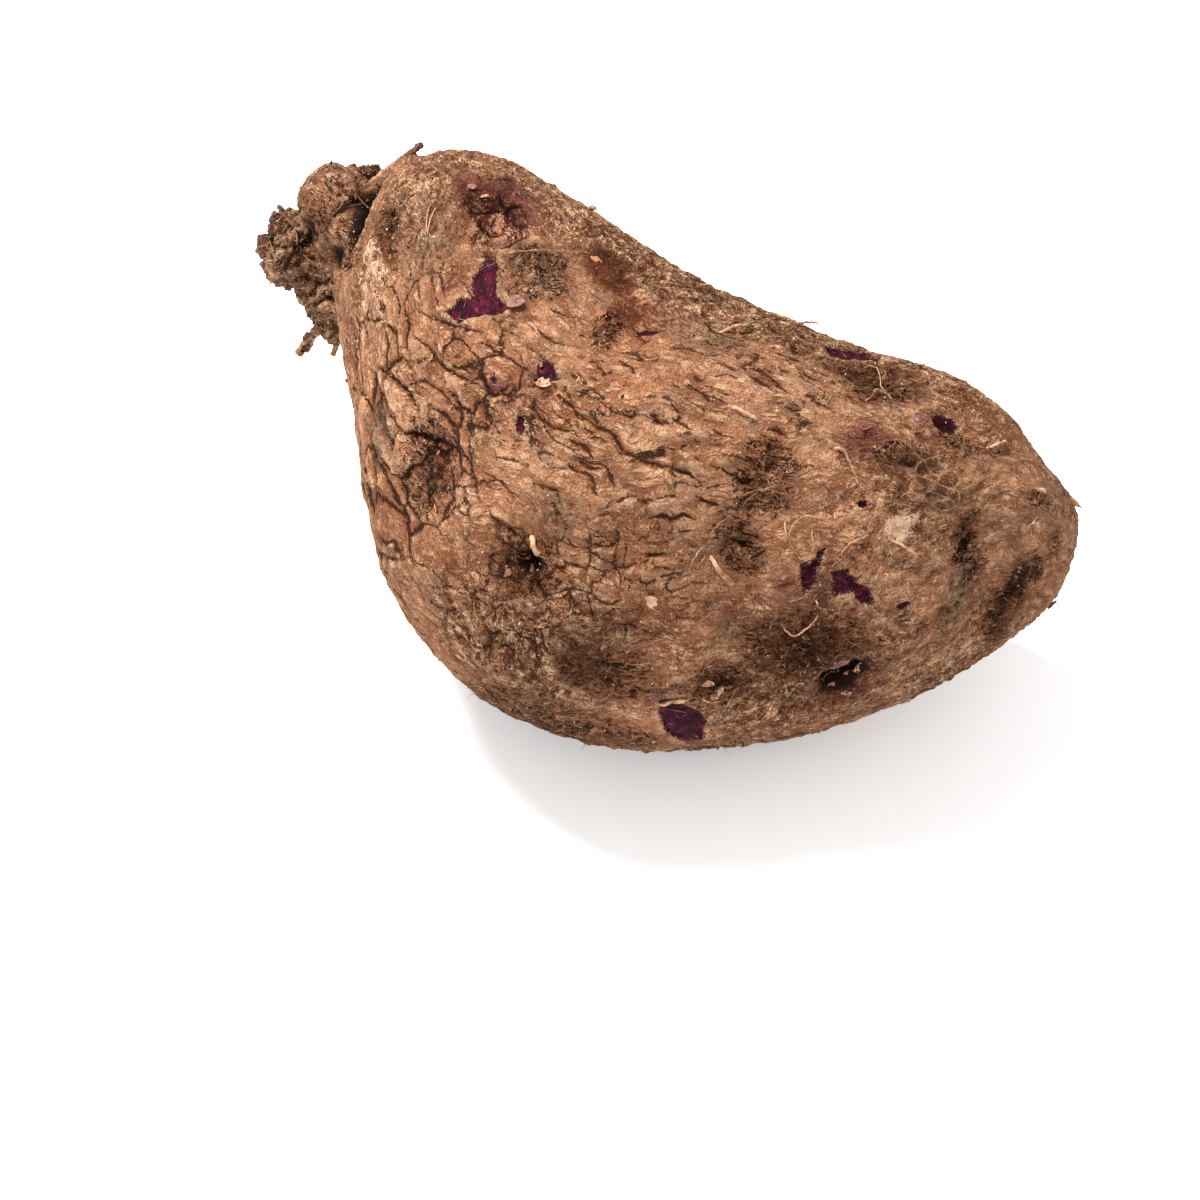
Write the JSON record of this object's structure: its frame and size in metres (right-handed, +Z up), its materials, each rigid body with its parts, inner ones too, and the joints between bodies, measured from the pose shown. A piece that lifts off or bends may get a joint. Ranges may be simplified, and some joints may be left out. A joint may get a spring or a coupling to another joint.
{
  "type": "purple yam",
  "caption": "Whole purple yam tuber lying on its side: a lobed, bark-skinned body with a knotted crown and broken root stubs.",
  "frame": {"origin": "middle of the bounding box's footprint, on the surface that the yam rests on", "axes": "+Z up; +X along the tuber from the knotted crown towards the blunt growing tip; +Y towards the hollow side of its bend"},
  "size_m": [0.182, 0.1042, 0.0928],
  "materials": {
    "skin": "dry, matt, cracked corky bark with fibres and clinging soil",
    "flesh": "dried, dull purple cortex where the skin has peeled",
    "rootlet": "dry, matt, wiry root hairs"
  },
  "bodies": {
    "root": {"tuber": "skin"}
  },
  "joints": []
}
